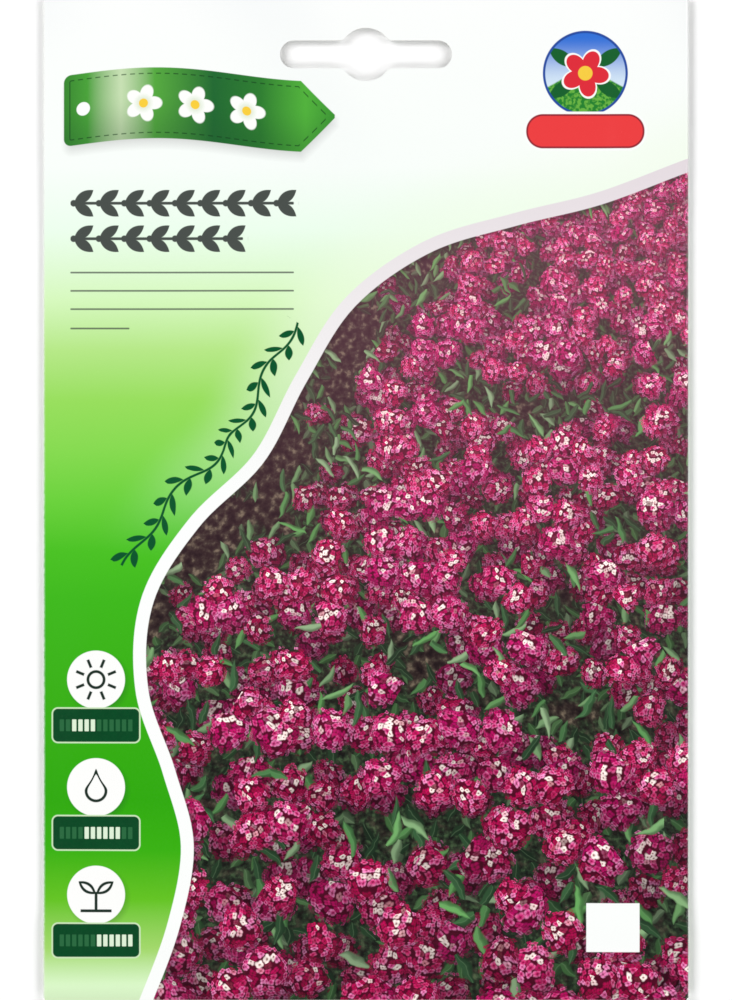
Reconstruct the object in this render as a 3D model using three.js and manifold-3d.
// A flower seed packet, lying on its back: one sheet of coated paper folded into a flat envelope, the lines
// of glue that hold its laps and its header, and inside it a foil sachet of two films with a pinch of seeds.
// Millimetres. +Z is up and +Y runs from the bottom fold to the header. The origin is the middle of the
// footprint. The sheet folds once at the left edge. Its side lap turns round the right edge onto the back,
// and its bottom lap turns up over the back and over the side lap. The hang slot is punched through front
// and back together.

import * as THREE from "three";
import { mergeVertices } from "three/addons/utils/BufferGeometryUtils.js";
import Module from "manifold-3d";

// Envelope
const WIDTH = 120;
const HEIGHT = 187;
const PAPER = 0.2;
const GLUE = 0.1;
const CLEARANCE = 0.03;
const SIDE_LAP = 12;
const BOTTOM_LAP = 13;
const BOTTOM_LAP_INSET = 3;
const BOTTOM_LAP_TAPER = 5;
const FREE_EDGE_INSET = 0.7;
const HEADER = 23.5;

// Lines of glue: half the width of each, and how far they stay inside the laps and the header
const BOTTOM_GLUE_HALF = 50;
const HEADER_GLUE_HALF = 55;
const SIDE_GLUE_INSET = { lapEdge: 1.5, fold: 2.5, bottom: 3, top: 2 };
const BOTTOM_GLUE_INSET = { fold: 3, lapEdge: 2 };
const HEADER_GLUE_INSET = { lower: 1.5, slot: 6, upper: 1.5 };

// Hang slot, the usual 32 mm retail slot with a round middle
const SLOT_LENGTH = 32;
const SLOT_HEIGHT = 5.2;
const SLOT_EYE = 9.9;
const SLOT_NECK_RADIUS = 1.5;
const SLOT_DROP = 10.6;

// How the filled packet swells. Along, it is full from fullY, sinks by the share sink between sinkFromY and
// sinkToY, and ends between the header and endY.
const SWELL = 3.2;
const CROWN = { power: 2.2, roundness: 1.1 };
const PILLOW = { fullY: -62, sink: 0.4, sinkFromY: -40, sinkToY: 60, endY: 44 };

// How the edges come off the table, and where each rise starts
const EDGE_LIFT = 0.8;
const HEADER_LIFT = 1;
const FOOT_LIFT = 0.5;
const FLAT_HALF_WIDTH = 38;
const RIGHT_LIFT_RUN = 8;
const HEADER_LIFT_Y = 48;
const FOOT_LIFT_Y = -71;

// How far from a lap's free edge the back starts and ends its step over the lap
const SIDE_STEP = { start: 4, end: 0.5 };
const BOTTOM_STEP = { start: 4.5, end: 1 };

// Sachet and seeds
const FILM = 0.12;
const SACHET_WIDTH = 72;
const SACHET_HEIGHT = 92;
const SACHET_MIDDLE_Y = -24;
const SACHET_SEAL = 7;
const SACHET_SWELL = 2.6;
const SACHET_CROWN_POWER = 2.5;
const SACHET_PILLOW = { full: 0.22, sink: 0.75, sinkFrom: 0.28, topFull: 0.8 };
const SEAL_GAP = 0.04;
const HEAP = { x: 0, y: -42, halfX: 19, halfY: 12.5, height: 1.3, rim: 0.15 };
const SEED = { length: 1.9, width: 1.25, thickness: 0.8, proud: 0.1 };
const SEED_SPACING = 2;
const SEED_SHIFT = 0.4;
const SEED_TILT = 0.7;
const SEED_REACH = 0.93;
const SEED_RANDOM = 7;

// Fineness of the curved stretches
const GRID_STEP = 8;
const FILM_STEP = 6.5;
const FOLD_STEPS = 4;
const ARC_STEPS = 6;
const HEAP_SIDES = 20;

// Two glued layers lie this far apart, from the middle of one to the middle of the other
const PLY = PAPER + GLUE + 2 * CLEARANCE;
const TOP = HEIGHT / 2;
const RIGHT = WIDTH / 2;
const LEFT_FOLD = PLY / 2;
const RIGHT_FOLD = PLY;
const BOTTOM_FOLD = PLY;
const LEFT_LINE = -RIGHT + LEFT_FOLD + PAPER / 2;
const RIGHT_LINE = RIGHT - RIGHT_FOLD - PAPER / 2;
const BOTTOM_LINE = -TOP + BOTTOM_FOLD + PAPER / 2;
const SIDE_LAP_EDGE = RIGHT - SIDE_LAP;
const BOTTOM_LAP_EDGE = -TOP + BOTTOM_LAP;
const BOTTOM_LAP_HALF = RIGHT - BOTTOM_LAP_INSET;
const SLOT_Y = TOP - SLOT_DROP;
const HEADER_EDGE = TOP - HEADER;
const SIDE_STEP_FROM = SIDE_LAP_EDGE - SIDE_STEP.start;
const SIDE_STEP_TO = SIDE_LAP_EDGE - SIDE_STEP.end;
const BOTTOM_STEP_FROM = BOTTOM_LAP_EDGE + BOTTOM_STEP.start;
const BOTTOM_STEP_TO = BOTTOM_LAP_EDGE + BOTTOM_STEP.end;

const wasm = await Module();
wasm.setup();

// Rises smoothly from 0 at a to 1 at b; a may be the larger one.
function rise(a, b, value) {
  const t = THREE.MathUtils.clamp((value - a) / (b - a), 0, 1);
  return t * t * (3 - 2 * t);
}

// Heights of the sheet's middle, as functions of the place on the table

// How far the underside is off the table: nothing in the middle, more along the edges and under the header.
function lift(x, y) {
  const rightSide = rise(FLAT_HALF_WIDTH, FLAT_HALF_WIDTH + RIGHT_LIFT_RUN, x);
  const side = x > 0 ? rightSide : rise(-FLAT_HALF_WIDTH, -RIGHT, x);
  const header = HEADER_LIFT * rise(HEADER_LIFT_Y, HEADER_EDGE, y);
  const foot = FOOT_LIFT * rise(FOOT_LIFT_Y, BOTTOM_STEP_TO, y);
  return 1 - (1 - EDGE_LIFT * side) * (1 - header) * (1 - foot);
}

// 1 where the back lies on the side lap, and 1 where it lies on the bottom lap.
const overSideLap = (x) => rise(SIDE_STEP_FROM, SIDE_STEP_TO, x);
const overBottomLap = (y) => rise(BOTTOM_STEP_FROM, BOTTOM_STEP_TO, y);

// The pillow that the filling gives the front: full low down, dying out at the folds and at the header.
function swell(x, y) {
  const across = Math.max(0, 1 - Math.pow(Math.abs(x) / RIGHT_LINE, CROWN.power)) ** CROWN.roundness;
  const sunk = 1 - PILLOW.sink * rise(PILLOW.sinkFromY, PILLOW.sinkToY, y);
  const along = rise(-TOP, PILLOW.fullY, y) * sunk * rise(HEADER_EDGE, PILLOW.endY, y);
  return SWELL * across * along;
}

const bottomLapZ = (x, y) => PAPER / 2 + lift(x, y);
const sideLapZ = (x, y) => bottomLapZ(x, y) + PLY * overBottomLap(y);
const backZ = (x, y) => sideLapZ(x, y) + PLY * overSideLap(x);
const frontZ = (x, y) => backZ(x, y) + PLY + swell(x, y);

// Grid lines from the first break to the last, each stretch cut evenly into steps of at most GRID_STEP.
function gridLines(breaks, step = GRID_STEP) {
  return breaks.flatMap((from, i) => {
    if (i === breaks.length - 1) return [from];
    const count = Math.ceil(Math.abs(breaks[i + 1] - from) / step - 1e-9);
    return Array.from({ length: count }, (_, k) => from + ((breaks[i + 1] - from) * k) / count);
  });
}

// Every layer and line of glue uses these lines, so that neighbours bend in the same places.
const COLUMNS = gridLines([
  LEFT_LINE,
  -BOTTOM_LAP_HALF,
  -BOTTOM_GLUE_HALF,
  -FLAT_HALF_WIDTH,
  FLAT_HALF_WIDTH,
  SIDE_STEP_FROM,
  SIDE_STEP_TO,
  BOTTOM_GLUE_HALF,
  BOTTOM_LAP_HALF,
  RIGHT_LINE,
]);
const ROWS = gridLines([
  TOP,
  HEADER_EDGE,
  PILLOW.endY,
  FOOT_LIFT_Y,
  BOTTOM_STEP_FROM,
  BOTTOM_STEP_TO,
  BOTTOM_LINE,
]);

// A closed solid from a middle surface: quads of vertex numbers, and a thickness laid half to each side along
// the vertices' normals. An edge that only one quad uses is a rim, and gets a wall.
function thickened(points, normals, quads, thickness) {
  const count = points.length;
  const positions = new Float32Array(count * 6);
  points.forEach((point, i) => {
    point.clone().addScaledVector(normals[i], thickness / 2).toArray(positions, i * 3);
    point.clone().addScaledVector(normals[i], -thickness / 2).toArray(positions, (count + i) * 3);
  });
  const triangles = [];
  const edges = new Map();
  for (const quad of quads) {
    const [a, b, c, d] = quad;
    triangles.push(a, b, c, a, c, d);
    triangles.push(count + a, count + c, count + b, count + a, count + d, count + c);
    quad.forEach((from, i) => {
      const to = quad[(i + 1) % 4];
      if (!edges.delete(`${to} ${from}`)) edges.set(`${from} ${to}`, [from, to]);
    });
  }
  for (const [from, to] of edges.values()) {
    triangles.push(to, from, count + from, to, count + from, count + to);
  }
  const geometry = new THREE.BufferGeometry();
  geometry.setAttribute("position", new THREE.BufferAttribute(positions, 3));
  geometry.setIndex(triangles);
  return geometry;
}

// A thin slab over a grid on the table, its middle at the height that a function gives.
function slab(xs, ys, heightAt, thickness) {
  const points = ys.flatMap((y) => xs.map((x) => new THREE.Vector3(x, y, heightAt(x, y))));
  const normals = points.map(() => new THREE.Vector3(0, 0, 1));
  const quads = [];
  for (let row = 0; row + 1 < ys.length; row++) {
    for (let column = 0; column + 1 < xs.length; column++) {
      const first = row * xs.length + column;
      quads.push([first, first + xs.length, first + xs.length + 1, first + 1]);
    }
  }
  return thickened(points, normals, quads, thickness);
}

// Angles of a half turn, without its two ends, which belong to the panels that it joins.
const turnAngles = Array.from({ length: FOLD_STEPS - 1 }, (_, i) => Math.PI * ((i + 1) / FOLD_STEPS - 0.5));

// A place on a fold's half turn between a lower and an upper layer, with its outward normal.
// outward is the unit vector that the fold points along, and turn runs from -90 degrees below to 90 above.
function onFold(x, y, outward, reach, lowerZ, upperZ, turn) {
  const point = new THREE.Vector3(x, y, (lowerZ + upperZ) / 2 + (Math.sin(turn) * (upperZ - lowerZ)) / 2);
  point.addScaledVector(outward, reach * Math.cos(turn));
  const normal = outward.clone().multiplyScalar(Math.cos(turn));
  return { point, normal: normal.setZ(Math.sin(turn)) };
}

// The columns of the sheet in order: side lap, right fold, front, left fold, back. Each gives the place at a
// row.
function sheetColumns() {
  const up = new THREE.Vector3(0, 0, 1);
  const down = new THREE.Vector3(0, 0, -1);
  const rightward = new THREE.Vector3(1, 0, 0);
  const leftward = new THREE.Vector3(-1, 0, 0);
  const panel = (x, heightAt, normal, isFront) => ({
    isFront,
    at: (y) => ({ point: new THREE.Vector3(x, y, heightAt(x, y)), normal: normal.clone() }),
  });
  const fold = (x, outward, reach, lowerAt, turn) => ({
    isFront: false,
    at: (y) => onFold(x, y, outward, reach, lowerAt(x, y), frontZ(x, y), turn),
  });
  const backX = [...COLUMNS.slice(0, -1), RIGHT - FREE_EDGE_INSET];
  const lapX = [SIDE_LAP_EDGE, ...COLUMNS.filter((x) => x > SIDE_LAP_EDGE)];
  return [
    ...lapX.map((x) => panel(x, sideLapZ, down)),
    ...turnAngles.map((turn) => fold(RIGHT_LINE, rightward, RIGHT_FOLD, sideLapZ, turn)),
    ...COLUMNS.toReversed().map((x) => panel(x, frontZ, up, true)),
    ...turnAngles.toReversed().map((turn) => fold(LEFT_LINE, leftward, LEFT_FOLD, backZ, turn)),
    ...backX.map((x) => panel(x, backZ, down)),
  ];
}

// The folded sheet before the slot is punched: the wrapped panels, then the bottom lap hung on the front's
// last row.
function foldedSheet() {
  const columns = sheetColumns();
  const points = [];
  const normals = [];
  const quads = [];
  const add = ({ point, normal }) => {
    points.push(point);
    normals.push(normal);
    return points.length - 1;
  };
  const lastRow = ROWS.length - 1;
  const tuckedEdge = -TOP + FREE_EDGE_INSET + PAPER;
  const numbers = columns.map((column) =>
    ROWS.map((y, row) => add(column.at(row === lastRow && !column.isFront ? tuckedEdge : y))),
  );
  for (let column = 0; column + 1 < columns.length; column++) {
    const [left, right] = [numbers[column], numbers[column + 1]];
    for (let row = 0; row < lastRow; row++) {
      const quad = [left[row], right[row], right[row + 1], left[row + 1]];
      if (columns[column].isFront) quad.push(quad.shift());
      quads.push(quad);
    }
  }

  // The bottom lap: the front's last row turns under and runs back up, narrowing to its free edge.
  const outward = new THREE.Vector3(0, -1, 0);
  const hinge = numbers.map((column) => column[lastRow]).filter((n, i) => columns[i].isFront);
  const onLap = hinge.filter((n) => Math.abs(points[n].x) <= BOTTOM_LAP_HALF + 1e-6);
  const lapRows = gridLines([BOTTOM_LINE, BOTTOM_LAP_EDGE]);
  let above = onLap;
  const join = (below) => {
    for (let i = 0; i + 1 < below.length; i++) {
      quads.push([above[i], above[i + 1], below[i + 1], below[i]]);
    }
    above = below;
  };
  for (const turn of turnAngles.toReversed()) {
    join(
      onLap.map((n) => {
        const { x } = points[n];
        const lower = bottomLapZ(x, BOTTOM_LINE);
        return add(onFold(x, BOTTOM_LINE, outward, BOTTOM_FOLD, lower, frontZ(x, BOTTOM_LINE), turn));
      }),
    );
  }
  for (const y of lapRows) {
    const taper = (BOTTOM_LAP_TAPER * (y - BOTTOM_LINE)) / (BOTTOM_LAP_EDGE - BOTTOM_LINE);
    const half = BOTTOM_LAP_HALF - taper;
    join(
      onLap.map((n) => {
        const x = THREE.MathUtils.clamp(points[n].x, -half, half);
        return add({ point: new THREE.Vector3(x, y, bottomLapZ(x, y)), normal: new THREE.Vector3(0, 0, -1) });
      }),
    );
  }
  return thickened(points, normals, quads, PAPER);
}

// Outline of the hang slot: two round-ended arms and a round eye, with small fillets where they meet.
function slotOutline() {
  const armHalf = SLOT_HEIGHT / 2;
  const eye = SLOT_EYE / 2;
  const fillet = SLOT_NECK_RADIUS;
  const filletX = Math.sqrt((eye + fillet) ** 2 - (armHalf + fillet) ** 2);
  const meet = Math.atan2(armHalf + fillet, filletX);
  const end = SLOT_LENGTH / 2 - armHalf;
  const shape = new THREE.Shape();
  shape.moveTo(filletX, -armHalf);
  shape.lineTo(end, -armHalf);
  shape.absarc(end, 0, armHalf, -Math.PI / 2, Math.PI / 2);
  shape.lineTo(filletX, armHalf);
  shape.absarc(filletX, armHalf + fillet, fillet, -Math.PI / 2, meet - Math.PI, true);
  shape.absarc(0, 0, eye, meet, Math.PI - meet);
  shape.absarc(-filletX, armHalf + fillet, fillet, -meet, -Math.PI / 2, true);
  shape.lineTo(-end, armHalf);
  shape.absarc(-end, 0, armHalf, Math.PI / 2, (3 * Math.PI) / 2);
  shape.lineTo(-filletX, -armHalf);
  shape.absarc(-filletX, -armHalf - fillet, fillet, Math.PI / 2, meet, true);
  shape.absarc(0, 0, eye, Math.PI + meet, 2 * Math.PI - meet);
  shape.absarc(filletX, -armHalf - fillet, fillet, Math.PI - meet, Math.PI / 2, true);
  return shape;
}

// Closed three.js geometry to a solid for joining and cutting, and back.
function toSolid(geometry) {
  const plain = geometry.clone();
  plain.deleteAttribute("normal");
  plain.deleteAttribute("uv");
  const merged = mergeVertices(plain, 1e-4);
  const { array } = merged.getAttribute("position");
  return new wasm.Manifold(
    new wasm.Mesh({ numProp: 3, vertProperties: array, triVerts: new Uint32Array(merged.index.array) }),
  );
}

function toGeometry(solid) {
  const mesh = solid.getMesh();
  const geometry = new THREE.BufferGeometry();
  geometry.setAttribute("position", new THREE.BufferAttribute(mesh.vertProperties, 3));
  geometry.setIndex(new THREE.BufferAttribute(mesh.triVerts, 1));
  geometry.computeVertexNormals();
  return geometry;
}

function punchedEnvelope() {
  const punch = new THREE.ExtrudeGeometry(slotOutline(), {
    depth: 4 * SWELL,
    bevelEnabled: false,
    curveSegments: ARC_STEPS,
  });
  punch.translate(0, SLOT_Y, -SWELL);
  return toGeometry(toSolid(foldedSheet()).subtract(toSolid(punch)));
}

// Lines of glue, each midway between the two layers that it holds. Their grid lines are the sheet's own, so
// that they bend where it bends.
const between = (from, to, lines) => [from, ...lines.filter((v) => v > from && v < to), to];

function glueLine(fromX, toX, fromY, toY, lowerAt) {
  const xs = between(fromX, toX, COLUMNS);
  const ys = between(fromY, toY, ROWS.toReversed()).toReversed();
  return slab(xs, ys, (x, y) => lowerAt(x, y) + PLY / 2, GLUE);
}

function sideLapGlue() {
  const { lapEdge, fold, bottom, top } = SIDE_GLUE_INSET;
  return glueLine(SIDE_LAP_EDGE + lapEdge, RIGHT - fold, -TOP + bottom, TOP - top, sideLapZ);
}

function bottomLapGlue() {
  const { fold, lapEdge } = BOTTOM_GLUE_INSET;
  return glueLine(-BOTTOM_GLUE_HALF, BOTTOM_GLUE_HALF, -TOP + fold, BOTTOM_LAP_EDGE - lapEdge, bottomLapZ);
}

function lowerHeaderGlue() {
  const { lower, slot } = HEADER_GLUE_INSET;
  return glueLine(-HEADER_GLUE_HALF, HEADER_GLUE_HALF, HEADER_EDGE + lower, SLOT_Y - slot, backZ);
}

function upperHeaderGlue() {
  const { upper, slot } = HEADER_GLUE_INSET;
  return glueLine(-HEADER_GLUE_HALF, HEADER_GLUE_HALF, SLOT_Y + slot, TOP - upper, backZ);
}

// The sachet: a flat back film, and a front film that is sealed to it all round and swells over the seeds.
const backFilmZ = () => PAPER + CLEARANCE + FILM / 2;

function sachetSwell(x, y) {
  const halfWidth = SACHET_WIDTH / 2 - SACHET_SEAL;
  const height = SACHET_HEIGHT - 2 * SACHET_SEAL;
  const up = (y - SACHET_MIDDLE_Y) / height + 0.5;
  const across = Math.max(0, 1 - Math.pow(Math.abs(x) / halfWidth, SACHET_CROWN_POWER));
  const { full, sink, sinkFrom, topFull } = SACHET_PILLOW;
  const along = rise(0, full, up) * (1 - sink * rise(sinkFrom, 1, up)) * rise(1, topFull, up);
  return SACHET_SWELL * across * along;
}

const frontFilmZ = (x, y) => backFilmZ() + FILM + SEAL_GAP + sachetSwell(x, y);

function film(heightAt, step) {
  const halfWidth = SACHET_WIDTH / 2;
  const halfHeight = SACHET_HEIGHT / 2;
  const inner = halfHeight - SACHET_SEAL;
  const xs = gridLines([-halfWidth, -halfWidth + SACHET_SEAL, halfWidth - SACHET_SEAL, halfWidth], step);
  const ys = gridLines([halfHeight, inner, -inner, -halfHeight], step).map((y) => y + SACHET_MIDDLE_Y);
  return slab(xs, ys, heightAt, FILM);
}

// Random numbers from 0 to 1 that are the same on every run.
function randomFrom(seed) {
  let state = seed;
  return () => {
    state = (state * 16807) % 2147483647;
    return state / 2147483647;
  };
}

// A heap of flat oval seeds, fused into the low mound that they stand out of.
function seedHeap() {
  const random = randomFrom(SEED_RANDOM);
  const floor = backFilmZ() + FILM / 2 + CLEARANCE;
  const mound = (across) => HEAP.height * Math.sqrt(Math.max(0, 1 - across * across));
  const profile = gridLines([0, 1], 1 / ARC_STEPS).map((t) => {
    const across = Math.sin((Math.PI / 2) * (1 - t));
    return new THREE.Vector2(across, HEAP.rim + mound(across));
  });
  const bottom = [new THREE.Vector2(0, 0), new THREE.Vector2(1, 0)];
  const core = new THREE.LatheGeometry([...bottom, ...profile], HEAP_SIDES);
  core.rotateX(Math.PI / 2);
  core.scale(HEAP.halfX, HEAP.halfY, 1);
  core.translate(HEAP.x, HEAP.y, floor);

  const seeds = [toSolid(core)];
  const rowStep = (SEED_SPACING * Math.sqrt(3)) / 2;
  for (let row = 0, y = -HEAP.halfY; y <= HEAP.halfY; row++, y += rowStep) {
    for (let x = -HEAP.halfX + (row % 2) * (SEED_SPACING / 2); x <= HEAP.halfX; x += SEED_SPACING) {
      const placeX = x + (random() - 0.5) * SEED_SPACING * SEED_SHIFT;
      const placeY = y + (random() - 0.5) * SEED_SPACING * SEED_SHIFT;
      const across = Math.hypot(placeX / HEAP.halfX, placeY / HEAP.halfY);
      const seed = new THREE.OctahedronGeometry(0.5);
      seed.scale(SEED.length, SEED.width, SEED.thickness);
      seed.rotateX((random() - 0.5) * SEED_TILT);
      seed.rotateY((random() - 0.5) * SEED_TILT);
      seed.rotateZ(random() * Math.PI);
      const middle = floor + HEAP.rim + mound(across) + SEED.thickness * SEED.proud;
      seed.translate(HEAP.x + placeX, HEAP.y + placeY, middle);
      if (across < SEED_REACH) seeds.push(toSolid(seed));
    }
  }
  return toGeometry(wasm.Manifold.union(seeds));
}

const paper = new THREE.MeshStandardMaterial({ color: 0xb9436f, roughness: 0.3, metalness: 0 });
const glue = new THREE.MeshStandardMaterial({ color: 0xe9e2c8, roughness: 0.4, metalness: 0 });
const foil = new THREE.MeshStandardMaterial({ color: 0xc9ccd0, roughness: 0.3, metalness: 1 });
const seedCoat = new THREE.MeshStandardMaterial({ color: 0xa8652c, roughness: 0.7, metalness: 0 });

const packet = new THREE.Group();

function add(name, geometry, material) {
  const mesh = new THREE.Mesh(geometry, material);
  mesh.name = name;
  packet.add(mesh);
}

add("envelope", punchedEnvelope(), paper);
add("side_lap_glue", sideLapGlue(), glue);
add("bottom_lap_glue", bottomLapGlue(), glue);
add("header_glue_lower", lowerHeaderGlue(), glue);
add("header_glue_upper", upperHeaderGlue(), glue);
add("sachet_back_film", film(backFilmZ, SACHET_HEIGHT), foil);
add("sachet_front_film", film(frontFilmZ, FILM_STEP), foil);
add("seeds", seedHeap(), seedCoat);

export default packet;
